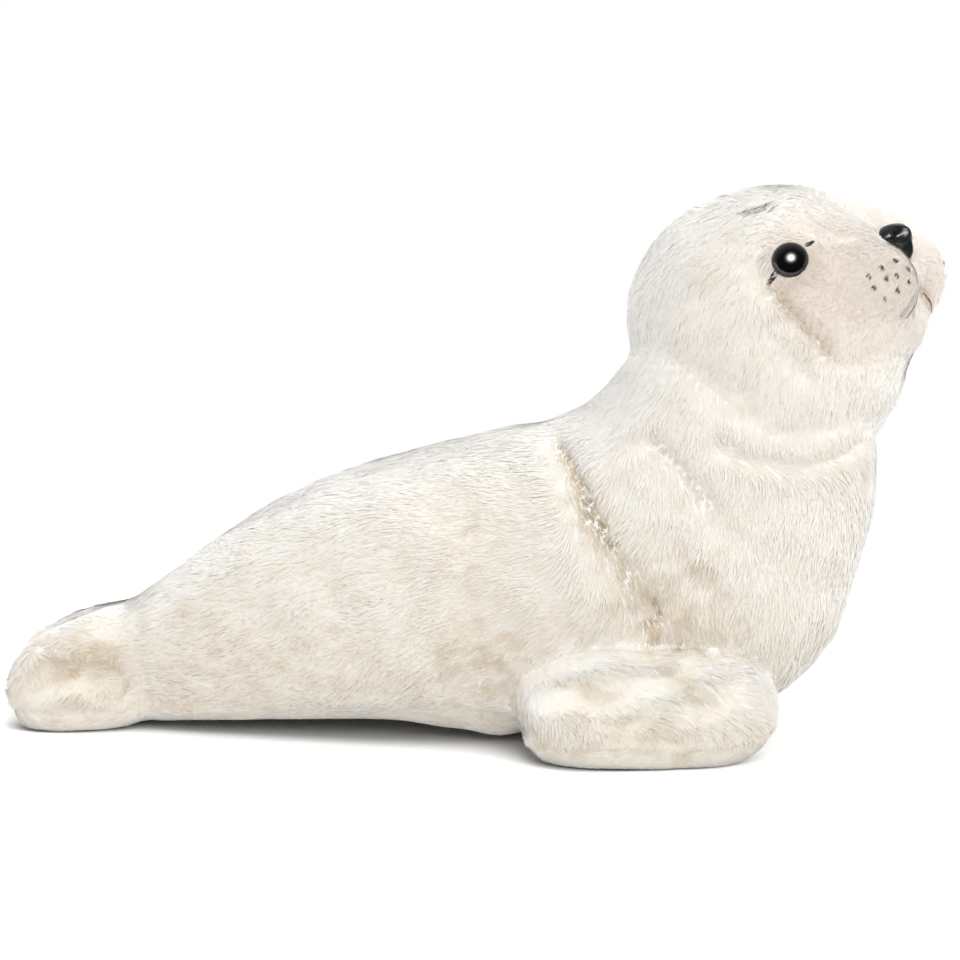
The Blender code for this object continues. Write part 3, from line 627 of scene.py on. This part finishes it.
near_edge = spread(on_face.astype(float), edges, 10)
cheek = smoothstep(-local[:, 2], -30, 10) * smoothstep(-local[:, 0], -45, -30)
reach = 1 - (0.5 - 0.25 * cheek) * smoothstep(near_edge, 0.05, 0.45) * ~on_face
for line, depth, width, _ in fold_lines:
    reach *= 1 - min(0.2 * depth, 0.5) * near_line(line, width * FOLD_SIDES)
reach *= 1 - 0.6 * np.maximum(smoothstep(-z, -14 * MM, -6 * MM), floor_side)

for name, values in (("tint", tint), ("cover", cover), ("reach", reach)):
    skin.attributes.new(name, "FLOAT", "POINT").data.foreach_set("value", values)
skin.attributes.new("comb", "FLOAT_VECTOR", "POINT").data.foreach_set("vector", comb.ravel())
skin.attributes.new("clothward", "FLOAT_VECTOR", "POINT").data.foreach_set(
    "vector", normals.ravel())

# Materials. Both piles are combed polyester: matt fibres, with a sheen where they are seen from
# the side.


def pile_material(name, white, cream, beige, dark, root):
    """Pile whose colour runs with the tint across and from root to tip along the strand."""
    material, tree, shader = new_material(name)
    place = add_node(tree, "ShaderNodeUVMap", uv_map="OFBake")
    split = add_node(tree, "ShaderNodeSeparateXYZ", links={"Vector": place.outputs["UV"]})
    across = add_node(tree, "ShaderNodeValToRGB", links={"Fac": split.outputs["X"]})
    fill_ramp(across, ((0.0, white), (0.3, cream), (0.6, beige), (0.72, "8b8783"),
                       (0.8, "77736f"), (1.0, dark)))
    along = add_node(tree, "ShaderNodeValToRGB", links={"Fac": split.outputs["Y"]})
    fill_ramp(along, ((0.0, root), (0.35, "fbf9f5"), (1.0, "ffffff")))
    both = add_node(tree, "ShaderNodeMix", data_type="RGBA", blend_type="MULTIPLY",
                    values={"Factor": 1.0},
                    links={"A": across.outputs["Color"], "B": along.outputs["Color"]})
    tree.links.new(socket(both.outputs, "Result"), shader.inputs["Base Color"])
    shader.inputs["Roughness"].default_value = 0.75
    shader.inputs["Specular IOR Level"].default_value = 0.15
    shader.inputs["Sheen Weight"].default_value = 0.7
    shader.inputs["Sheen Roughness"].default_value = 0.45
    return material


def fill_ramp(node, stops):
    elements = node.color_ramp.elements
    while len(elements) < len(stops):
        elements.new(0.5)
    for element, (position, colour) in zip(elements, stops):
        element.position = position
        element.color = linear(colour)


long_pile = pile_material("long_pile_fur", "fcfcfb", "f3ede3", "cfbda4", "2b201b", "f7f3ec")
short_pile = pile_material("short_pile_fur", "fcfbf9", "f1e7de", "d3c2b2", "2b201b", "f1e9e0")

# Knitted backing: dull undyed yarn, of which little shows between the strands
cloth, _, cloth_shader = new_material("knitted_backing")
cloth_shader.inputs["Base Color"].default_value = linear("faf8f4")
cloth_shader.inputs["Roughness"].default_value = 0.9
cloth_shader.inputs["Specular IOR Level"].default_value = 0.1


# The cloth: a panel for each soft node


def cloth_panel(name, number):
    """The part of the skin that covers one node."""
    work = bmesh.new()
    work.from_mesh(skin)
    work.faces.ensure_lookup_table()
    away = [f for f in work.faces if face_label[f.index] != number]
    bmesh.ops.delete(work, geom=away, context="FACES")
    mesh = bpy.data.meshes.new(name)
    work.to_mesh(mesh)
    work.free()
    mesh.polygons.foreach_set("use_smooth", np.ones(len(mesh.polygons), dtype=bool))
    return mesh


PANEL_ATTRIBUTES = ("tint", "cover", "reach", "comb", "clothward")
STRAND_ATTRIBUTES = ("along", "across", "shade", "lock")
corner_counts = np.empty(len(skin.polygons), dtype=np.int64)
skin.polygons.foreach_get("loop_total", corner_counts)
corners = np.empty(len(skin.loops), dtype=np.int64)
skin.loops.foreach_get("vertex_index", corners)
owner = np.repeat(np.arange(len(corner_counts)), corner_counts)
votes = np.zeros((len(corner_counts), len(SOFT_NODES)))
np.add.at(votes, (owner, label[corners]), 1)
face_label = np.argmax(votes, axis=1)


def solid_cloth(name, mesh):
    """A panel with the cloth's thickness inwards."""
    obj = new_object(name, mesh.copy())
    thick = obj.modifiers.new("thickness", "SOLIDIFY")
    thick.thickness = CLOTH_THICKNESS
    thick.offset = -1
    result = new_object(name, plain_mesh(obj, name))
    for attribute in PANEL_ATTRIBUTES:
        result.data.attributes.remove(result.data.attributes[attribute])
    result.data.materials.clear()
    result.data.materials.append(cloth)
    return result


# The pile

STRAND_MIDDLE = 0.42  # where a strand is widest
ROLL = 0.09  # how far a strand turns about itself, either way, in radians
PITCH = (-0.035, 0.02)
LENGTHS = (0.72, 1.15)  # of the pile's length
NORMAL_SHARE = 0.93  # how much of a strand's shading follows the cloth and not the strand
ROUNDNESS = 0.10  # how much its shading turns across it
SHADE_TINT, LOCK_TINT = 0.05, 0.10  # how much single strands and whole locks differ
LEAST_TINT, MOST_TINT = 0.01, 0.99


def strand_mesh(lift, tip):
    """One strand: a flat kite that rises from its root and then lies down, 1 long and 1 wide."""
    mesh = bpy.data.meshes.new("strand")
    points = ((0, 0, 0), (STRAND_MIDDLE, -0.5, lift), (STRAND_MIDDLE, 0.5, lift), (1, 0, tip))
    mesh.from_pydata(points, [], ((0, 1, 2), (1, 3, 2)))
    for name, values in (("along", (0, STRAND_MIDDLE, STRAND_MIDDLE, 1)),
                         ("across", (0, -1, 1, 0))):
        mesh.attributes.new(name, "FLOAT", "POINT").data.foreach_set("value", values)
    return new_object("strand", mesh)


def pile_tree():
    """Scatters strands over the cloth, leaning along its comb and together into locks."""
    tree = bpy.data.node_groups.new("pile", "GeometryNodeTree")
    face = tree.interface
    face.new_socket("Cloth", in_out="INPUT", socket_type="NodeSocketGeometry")
    for name, kind in (("Strand", "Object"), ("Finish", "Material"), ("Density", "Float"),
                       ("Length", "Float"), ("Width", "Float"), ("Lock Size", "Float"),
                       ("Lock Pull", "Float"), ("Disorder", "Float"), ("Seed", "Int")):
        face.new_socket(name, in_out="INPUT", socket_type="NodeSocket" + kind)
    face.new_socket("Pile", in_out="OUTPUT", socket_type="NodeSocketGeometry")
    given = tree.nodes.new("NodeGroupInput").outputs

    def attribute(name, kind):
        return add_node(tree, "GeometryNodeInputNamedAttribute", {"Name": name},
                        data_type=kind).outputs["Attribute"]

    def math_node(operation, first, second):
        node = add_node(tree, "ShaderNodeMath", operation=operation)
        for slot, value in zip(node.inputs, (first, second)):
            if isinstance(value, (int, float)):
                slot.default_value = value
            else:
                tree.links.new(value, slot)
        return node.outputs[0]

    def vector_node(operation, first, second):
        node = add_node(tree, "ShaderNodeVectorMath", operation=operation)
        tree.links.new(first, node.inputs[0])
        slot = node.inputs["Scale"] if operation == "SCALE" else node.inputs[1]
        tree.links.new(second, slot)
        return node.outputs[0]

    def random_float(low, high, seed):
        node = add_node(tree, "FunctionNodeRandomValue", data_type="FLOAT")
        socket(node.inputs, "Min").default_value = low
        socket(node.inputs, "Max").default_value = high
        tree.links.new(math_node("ADD", given["Seed"], seed), socket(node.inputs, "Seed"))
        return socket(node.outputs, "Value")

    def random_vector(seed):
        node = add_node(tree, "FunctionNodeRandomValue", data_type="FLOAT_VECTOR")
        socket(node.inputs, "Min").default_value = (-1, -1, -1)
        socket(node.inputs, "Max").default_value = (1, 1, 1)
        tree.links.new(math_node("ADD", given["Seed"], seed), socket(node.inputs, "Seed"))
        return socket(node.outputs, "Value")

    density = math_node("MULTIPLY", given["Density"], attribute("cover", "FLOAT"))
    scatter = add_node(tree, "GeometryNodeDistributePointsOnFaces",
                       links={"Mesh": given["Cloth"], "Density": density, "Seed": given["Seed"]})
    place = tree.nodes.new("GeometryNodeInputPosition").outputs[0]
    locks = add_node(tree, "ShaderNodeTexVoronoi",
                     links={"Vector": place, "Scale": math_node("DIVIDE", 1, given["Lock Size"])})
    pull = vector_node("SUBTRACT", locks.outputs["Position"], place)
    strength = math_node("DIVIDE", given["Lock Pull"], given["Length"])
    lean = vector_node("ADD", attribute("comb", "FLOAT_VECTOR"),
                       vector_node("SCALE", pull, strength))
    stray = vector_node("SCALE", random_vector(1), given["Disorder"])
    lean = vector_node("ADD", lean, stray)
    up = attribute("clothward", "FLOAT_VECTOR")
    turn = add_node(tree, "FunctionNodeAxesToRotation",
                    links={"Primary Axis": up, "Secondary Axis": lean})
    roll = add_node(tree, "FunctionNodeAxisAngleToRotation", {"Axis": (1, 0, 0)},
                    {"Angle": random_float(-ROLL, ROLL, 2)})
    turned = add_node(tree, "FunctionNodeRotateRotation", rotation_space="LOCAL",
                      links={"Rotation": turn.outputs[0], "Rotate By": roll.outputs[0]})
    pitch = add_node(tree, "FunctionNodeAxisAngleToRotation", {"Axis": (0, 1, 0)},
                     {"Angle": random_float(*PITCH, 3)})
    turned = add_node(tree, "FunctionNodeRotateRotation", rotation_space="LOCAL",
                      links={"Rotation": turned.outputs[0], "Rotate By": pitch.outputs[0]})
    long = math_node("MULTIPLY", given["Length"], random_float(*LENGTHS, 4))
    long = math_node("MULTIPLY", long, attribute("reach", "FLOAT"))
    size = add_node(tree, "ShaderNodeCombineXYZ",
                    links={"X": long, "Y": given["Width"], "Z": long})
    strand = add_node(tree, "GeometryNodeObjectInfo", links={"Object": given["Strand"]})
    points = scatter.outputs["Points"]
    for name, kind, value in (("shade", "FLOAT", random_float(-1, 1, 5)),
                              ("lock", "FLOAT_VECTOR", locks.outputs["Color"])):
        points = add_node(tree, "GeometryNodeStoreNamedAttribute", {"Name": name},
                          {"Geometry": points, "Value": value}, data_type=kind,
                          domain="POINT").outputs[0]
    grown = add_node(tree, "GeometryNodeInstanceOnPoints",
                     links={"Points": points, "Instance": strand.outputs["Geometry"],
                            "Rotation": turned.outputs[0], "Scale": size.outputs[0]})
    real = add_node(tree, "GeometryNodeRealizeInstances",
                    links={"Geometry": grown.outputs[0]})
    finish = add_node(tree, "GeometryNodeSetMaterial",
                      links={"Geometry": real.outputs[0], "Material": given["Finish"]})
    tree.links.new(finish.outputs[0], tree.nodes.new("NodeGroupOutput").inputs[0])
    return tree


PILE = pile_tree()
LONG_STRAND = strand_mesh(0.045, 0.06)
SHORT_STRAND = strand_mesh(0.10, 0.13)


def grow_pile(name, mesh, strand, finish, **sizes):
    """The pile on a panel, as a plain mesh with soft shading and its colour map."""
    obj = new_object(name + "_cloth", mesh.copy())
    modifier = obj.modifiers.new("pile", "NODES")
    modifier.node_group = PILE
    given = dict(sizes)
    given.update(strand=strand, finish=finish)
    for item in PILE.interface.items_tree:
        key = item.name.lower().replace(" ", "_")
        if item.item_type == "SOCKET" and item.in_out == "INPUT" and key in given:
            modifier[item.identifier] = given[key]
    pile = plain_mesh(obj, name)
    finish_pile(pile)
    return new_object(name, pile)


def read_floats(mesh, name, width=1):
    values = np.empty(len(mesh.vertices) * width)
    mesh.attributes[name].data.foreach_get("value" if width == 1 else "vector", values)
    return values if width == 1 else values.reshape(-1, width)


def finish_pile(mesh):
    """Gives the strands their colour map and a shading that mostly follows the cloth."""
    points = vertices_of(mesh)
    points[:, 2] = np.maximum(points[:, 2], PILE_LOWEST)
    set_vertices(mesh, points)
    tints = read_floats(mesh, "tint")
    along = read_floats(mesh, "along")
    across = read_floats(mesh, "across")
    shade = read_floats(mesh, "shade")
    root_up = read_floats(mesh, "clothward", 3).reshape(-1, 4, 3)[:, 0]
    quads = points.reshape(-1, 4, 3)
    lock = read_floats(mesh, "lock", 3)[:, 0] - 0.5
    tints = with_marks(points, tints + SHADE_TINT * shade + LOCK_TINT * lock, shade)
    tints = np.clip(tints, LEAST_TINT, MOST_TINT)
    width = unit(quads[:, 2] - quads[:, 1])
    own = unit(np.cross(quads[:, 3] - quads[:, 0], width))
    own *= np.sign(np.sum(own * root_up, axis=1))[:, None]
    base = unit(NORMAL_SHARE * root_up + (1 - NORMAL_SHARE) * own)
    shaded = base[:, None, :] + ROUNDNESS * across.reshape(-1, 4)[:, :, None] * width[:, None, :]
    mesh.polygons.foreach_set("use_smooth", np.ones(len(mesh.polygons), dtype=bool))
    mesh.normals_split_custom_set_from_vertices(unit(shaded).reshape(-1, 3))
    corner = np.empty(len(mesh.loops), dtype=np.int64)
    mesh.loops.foreach_get("vertex_index", corner)
    layer = mesh.uv_layers.new(name="OFBake")
    uv = np.stack([tints[corner] + 0.004 * across[corner], 0.03 + 0.94 * along[corner]], axis=1)
    layer.uv.foreach_set("vector", uv.ravel())
    helpers = (*PANEL_ATTRIBUTES, *STRAND_ATTRIBUTES)
    for name in [a.name for a in mesh.attributes if a.name in helpers]:
        mesh.attributes.remove(mesh.attributes[name])


LONG = dict(length=7.0 * MM, width=0.40 * MM, lock_size=5.0 * MM, lock_pull=0.3, disorder=0.22)
SHORT = dict(length=2.8 * MM, width=0.30 * MM, lock_size=3 * MM, lock_pull=0.25, disorder=0.35)


def split_by_x(mesh, middle):
    """The parts of a mesh in front of and behind a plane across the body."""
    halves = []
    for sign in (1, -1):
        work = bmesh.new()
        work.from_mesh(mesh)
        away = [f for f in work.faces if (f.calc_center_median().x - middle) * sign < 0]
        bmesh.ops.delete(work, geom=away, context="FACES")
        half = bpy.data.meshes.new("half")
        work.to_mesh(half)
        work.free()
        halves.append(half)
    return halves


def area_of(mesh):
    return sum(p.area for p in mesh.polygons)


# How many strands each pile has, under 100,000 so that its mesh stays under 200,000 triangles
STRANDS = {
    "fur_body_front": 86000, "fur_body_rear": 70000, "fur_head": 76000, "fur_face": 62000,
    "fur_belly": 8000, "fur_front_flipper_left": 30000, "fur_front_flipper_right": 32000,
    "fur_hind_flipper_left": 16000, "fur_hind_flipper_right": 17000,
}

seed = 0
for number, node in enumerate(SOFT_NODES):
    panel = cloth_panel("panel_" + node, number)
    piece = solid_cloth("skin_" + node, panel)
    is_short = node in ("face_panel", "belly_panel")
    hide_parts(node)
    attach(piece, "root")
    if node == "body":
        grown = list(zip(("fur_body_front", "fur_body_rear"), split_by_x(panel, 0.0)))
    else:
        grown = [("fur_" + node.replace("_panel", ""), panel)]
    for name, mesh in grown:
        seed += 10
        shares = np.empty(len(mesh.vertices))
        mesh.attributes["cover"].data.foreach_get("value", shares)
        density = STRANDS[name] / (area_of(mesh) * max(shares.mean(), 0.2))
        pile = grow_pile(name, mesh, SHORT_STRAND if is_short else LONG_STRAND,
                         short_pile if is_short else long_pile,
                         density=density, seed=seed, **(SHORT if is_short else LONG))
        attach(pile, "root")

for strand in (LONG_STRAND, SHORT_STRAND):
    bpy.data.objects.remove(strand)

# The hard pieces keep their shape and get their finishes


def plain_finish(name, colour, roughness, specular=0.5):
    material, _, shader = new_material(name)
    shader.inputs["Base Color"].default_value = linear(colour)
    shader.inputs["Roughness"].default_value = roughness
    shader.inputs["Specular IOR Level"].default_value = specular
    return material


FINISHES = {
    # Polished acrylic, dyed black: a clear highlight on a deep black
    "eye_plastic": plain_finish("eye_plastic", "060607", 0.09, 0.7),
    # Moulded ABS, satin and dark grey: broad soft highlights on its edges
    "nose_plastic": plain_finish("nose_plastic", "1c1d1f", 0.3, 0.35),
    # Natural polypropylene, as moulded, hidden in the filling
    "washer_plastic": plain_finish("washer_plastic", "e8e6e0", 0.5),
    # Spun polyester embroidery thread: dull brown
    "mouth_thread": plain_finish("mouth_thread", "6a5a4e", 0.8, 0.2),
}
for name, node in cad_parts.items():
    if "washer" in name:
        node.data.materials.clear()
        node.data.materials.append(FINISHES["washer_plastic"])


def refined(name, node_name, slot, levels, sink=0):
    """A smooth copy of a hard node, sunk into the pile by some millimetres."""
    work = merged(node_name)
    for vertex in work.verts:
        vertex.co -= skin_tree.find_nearest(vertex.co)[1] * sink * MM
    mesh = bpy.data.meshes.new(name)
    work.to_mesh(mesh)
    work.free()
    obj = new_object(name, mesh)
    finer = obj.modifiers.new("finer", "SUBSURF")
    finer.levels = levels
    result = new_object(name, plain_mesh(obj, name))
    mesh = result.data
    mesh.polygons.foreach_set("use_smooth", np.ones(len(mesh.polygons), dtype=bool))
    mesh.materials.clear()
    mesh.materials.append(FINISHES[slot])
    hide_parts(node_name)
    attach(result, "root")


refined("moulded_nose", "nose", "nose_plastic", 2)
refined("domed_eye_left", "eye_left", "eye_plastic", 2)
refined("domed_eye_right", "eye_right", "eye_plastic", 2)
refined("stitched_mouth", "mouth_thread", "mouth_thread", 1, 0.8)

# Studio: white floor, soft light from above and a softbox near the camera


def look_at(obj, target):
    direction = Vector(target) - obj.location
    obj.rotation_euler = direction.to_track_quat("-Z", "Y").to_euler()


camera_data = bpy.data.cameras.new("camera")
camera_data.lens = CAMERA_LENS
camera_data.sensor_width = CAMERA_SENSOR
camera = bpy.data.objects.new("camera", camera_data)
bpy.context.scene.collection.objects.link(camera)
camera.location = CAMERA_PLACE
camera.rotation_euler = (math.pi / 2 - CAMERA_RISE, 0, 0)
bpy.context.scene.camera = camera

FLOOR_HALF = 40  # metres, far past the edge of the picture
floor_mesh = bpy.data.meshes.new("floor")
floor_mesh.from_pydata([(x * FLOOR_HALF, y * FLOOR_HALF, 0) for x, y in
                        ((-1, -1), (1, -1), (1, 1), (-1, 1))], [], ((0, 1, 2, 3),))
floor = new_object("floor", floor_mesh)
floor_finish, tree, shader = new_material("white_sweep")
# Away from the object the sweep is pure white, and near it the shadow is kept
place = add_node(tree, "ShaderNodeTexCoord")
away = add_node(tree, "ShaderNodeVectorMath", links={0: place.outputs["Object"]},
                operation="LENGTH")
fade = add_node(tree, "ShaderNodeMapRange", {"From Min": 0.26, "From Max": 0.5},
                {"Value": away.outputs["Value"]}, interpolation_type="SMOOTHSTEP")
glow = add_node(tree, "ShaderNodeEmission", {"Color": (1, 1, 1, 1), "Strength": 1.0})
rays = add_node(tree, "ShaderNodeLightPath")
seen = add_node(tree, "ShaderNodeMath", links={0: fade.outputs["Result"],
                                               1: rays.outputs["Is Camera Ray"]},
                operation="MULTIPLY")
# The camera sees the sweep overexposed, so that only the deeper shadow shows, and the eyes and the
# nose mirror a painted glow of it instead
near = add_node(tree, "ShaderNodeAmbientOcclusion", {"Distance": 0.11})
along = add_node(tree, "ShaderNodeSeparateXYZ", links={0: place.outputs["Object"]})
# The shadow fades under the chest and is fuller behind the tail
front = add_node(tree, "ShaderNodeMapRange", {"From Min": 0.03, "From Max": 0.1, "To Min": 0.0,
                                              "To Max": 0.6}, {"Value": along.outputs["X"]},
                 interpolation_type="SMOOTHSTEP")
rear = add_node(tree, "ShaderNodeMapRange", {"From Min": -0.2, "From Max": -0.15, "To Min": -0.25,
                                             "To Max": 0.0}, {"Value": along.outputs["X"]},
                interpolation_type="SMOOTHSTEP")
both = add_node(tree, "ShaderNodeMath", links={0: front.outputs["Result"],
                                               1: rear.outputs["Result"]})
open_part = add_node(tree, "ShaderNodeMath", links={0: near.outputs["AO"], 1: both.outputs[0]})
contact = add_node(tree, "ShaderNodeMapRange", {"From Min": 0.18, "From Max": 0.72,
                                                "To Min": 0.38, "To Max": 1.3},
                   {"Value": open_part.outputs[0]}, interpolation_type="SMOOTHSTEP")
paper = add_node(tree, "ShaderNodeBsdfDiffuse", {"Color": (0.95, 0.95, 0.95, 1)})
bright = add_node(tree, "ShaderNodeBsdfDiffuse", links={"Color": contact.outputs["Result"]})
# Painted reflection: to the rays that the eyes and the nose mirror, the floor glows, dim in front
# of the toy and bright under and behind it
reflected_glow = add_node(tree, "ShaderNodeMapRange", {"From Min": -0.17, "From Max": -0.11,
                                                   "To Min": 0.04, "To Max": 1.6},
                      {"Value": along.outputs["Y"]}, interpolation_type="SMOOTHSTEP")
dull = add_node(tree, "ShaderNodeEmission", {"Color": (1, 1, 1, 1)},
                {"Strength": reflected_glow.outputs["Result"]})
unseen = add_node(tree, "ShaderNodeMixShader", links={0: rays.outputs["Is Glossy Ray"],
                                                      1: paper.outputs[0], 2: dull.outputs[0]})
sweep = add_node(tree, "ShaderNodeMixShader", links={0: rays.outputs["Is Camera Ray"],
                                                     1: unseen.outputs[0], 2: bright.outputs[0]})
blend = add_node(tree, "ShaderNodeMixShader", links={0: seen.outputs[0], 1: sweep.outputs[0],
                                                     2: glow.outputs[0]})
tree.links.new(blend.outputs[0], tree.nodes["Material Output"].inputs["Surface"])
floor.data.materials.append(floor_finish)


def area_light(name, place, target, size, power):
    data = bpy.data.lights.new(name, "AREA")
    data.shape = "DISK"
    data.size = size
    data.energy = power
    light = bpy.data.objects.new(name, data)
    light.location = place
    bpy.context.scene.collection.objects.link(light)
    look_at(light, target)
    light.visible_glossy = False  # the eyes and the nose mirror the softbox of the room instead


area_light("key", (0.05, -1.15, 1.06), (0.07, 0, 0.12), 0.6, 2.5)
area_light("top", (0.1, 0.2, 1.5), (0, 0, 0.05), 1.6, 8)

# The room: bright all round for the fur, darker where the eyes and the nose mirror it
BRIGHT_SIDE = (0.8, 0.45, 0.5)
SOFTBOX_DIRECTION = (-0.098, -0.787, 0.61)
SOFTBOX_TIGHTNESS = 34.0
SOFTBOX_STRENGTH = 40.0
world = bpy.data.worlds.new("studio")
bpy.context.scene.world = world
world.use_nodes = True
tree = world.node_tree
tree.nodes.clear()
rays = tree.nodes.new("ShaderNodeLightPath")
place = tree.nodes.new("ShaderNodeTexCoord")
split = add_node(tree, "ShaderNodeSeparateXYZ", links={0: place.outputs["Generated"]})
across = add_node(tree, "ShaderNodeVectorMath", {1: BRIGHT_SIDE},
                  {0: place.outputs["Generated"]}, operation="DOT_PRODUCT")
room = add_node(tree, "ShaderNodeMapRange", {"From Min": -0.6, "From Max": 0.6, "To Min": 0.62,
                                             "To Max": 1.22}, {"Value": across.outputs["Value"]})
behind = add_node(tree, "ShaderNodeMapRange", {"From Min": -0.3, "From Max": 0.7, "To Min": 0.05,
                                               "To Max": 0.6}, {"Value": split.outputs["Y"]})
# The softbox in the eye, a bright spot in the direction that the eye mirrors to the camera
towards = add_node(tree, "ShaderNodeVectorMath", {1: SOFTBOX_DIRECTION},
                   {0: place.outputs["Generated"]}, operation="DOT_PRODUCT")
ahead_only = add_node(tree, "ShaderNodeMath", {1: 0.0}, {0: towards.outputs["Value"]},
                      operation="MAXIMUM")
lobe = add_node(tree, "ShaderNodeMath", {1: SOFTBOX_TIGHTNESS}, {0: ahead_only.outputs[0]},
                operation="POWER")
softbox = add_node(tree, "ShaderNodeMath", {1: SOFTBOX_STRENGTH}, {0: lobe.outputs[0]},
                   operation="MULTIPLY")
gloom = add_node(tree, "ShaderNodeMath", links={0: behind.outputs["Result"],
                                                1: softbox.outputs[0]})
shown = add_node(tree, "ShaderNodeBackground", {"Color": (1, 1, 1, 1), "Strength": 1.0})
fill = add_node(tree, "ShaderNodeBackground", {"Color": (1, 1, 0.995, 1)},
                {"Strength": room.outputs["Result"]})
dim = add_node(tree, "ShaderNodeBackground", {"Color": (1, 1, 1, 1)},
               {"Strength": gloom.outputs[0]})
lit = add_node(tree, "ShaderNodeMixShader", links={0: rays.outputs["Is Glossy Ray"],
                                                   1: fill.outputs[0], 2: dim.outputs[0]})
mix = add_node(tree, "ShaderNodeMixShader", links={0: rays.outputs["Is Camera Ray"],
                                                   1: lit.outputs[0], 2: shown.outputs[0]})
add_node(tree, "ShaderNodeOutputWorld", links={"Surface": mix.outputs[0]})
bpy.context.scene.view_settings.view_transform = "Standard"
